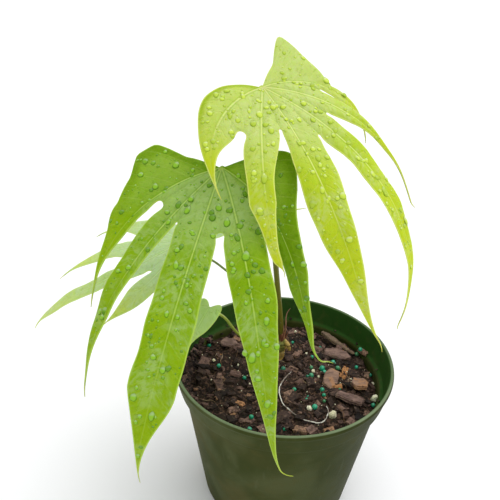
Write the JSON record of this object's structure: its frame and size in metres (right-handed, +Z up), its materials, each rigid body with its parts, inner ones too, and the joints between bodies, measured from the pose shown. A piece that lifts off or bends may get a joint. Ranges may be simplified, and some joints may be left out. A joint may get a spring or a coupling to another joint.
{
  "type": "potted fingers anthurium",
  "caption": "Young fingers anthurium with arching hand-shaped leaves on thin stalks, in a round tapered plastic nursery pot filled with bark potting mix.",
  "frame": {"origin": "middle of the pot's flat underside", "axes": "+Z up out of the pot; -Y towards the viewer, the way the leaves reach; +X to the right"},
  "size_m": [0.244, 0.1888, 0.3208],
  "materials": {
    "pot": "satin moulded, worn pale at the lip",
    "potting_mix": "rough, damp",
    "tan_bark": "rough",
    "dark_bark": "rough",
    "orange_bark": "rough",
    "root": "velvety",
    "shoot": "waxy",
    "sheath": "papery, dry",
    "petiole": "waxy",
    "petiole_green": "waxy",
    "new_blade": "waxy, wet",
    "blade": "waxy, wet",
    "pale_blade": "waxy",
    "small_blade": "waxy"
  },
  "bodies": {
    "root": {"pot": "pot", "potting_mix": "potting_mix", "bark_splinter": "tan_bark", "bark_plate_dark": "dark_bark", "bark_plate_orange": "orange_bark", "bark_block_orange": "orange_bark", "bark_plank": "dark_bark", "bark_chip_red": "dark_bark", "loose_root": "root", "shoot_base": "shoot", "cataphyll": "sheath", "petiole_a": "petiole", "petiole_b": "petiole", "petiole_c": "petiole", "petiole_d": "petiole_green", "leaf_a": "new_blade", "leaf_b": "blade", "leaf_c": "pale_blade", "leaf_d": "small_blade"}
  },
  "joints": []
}
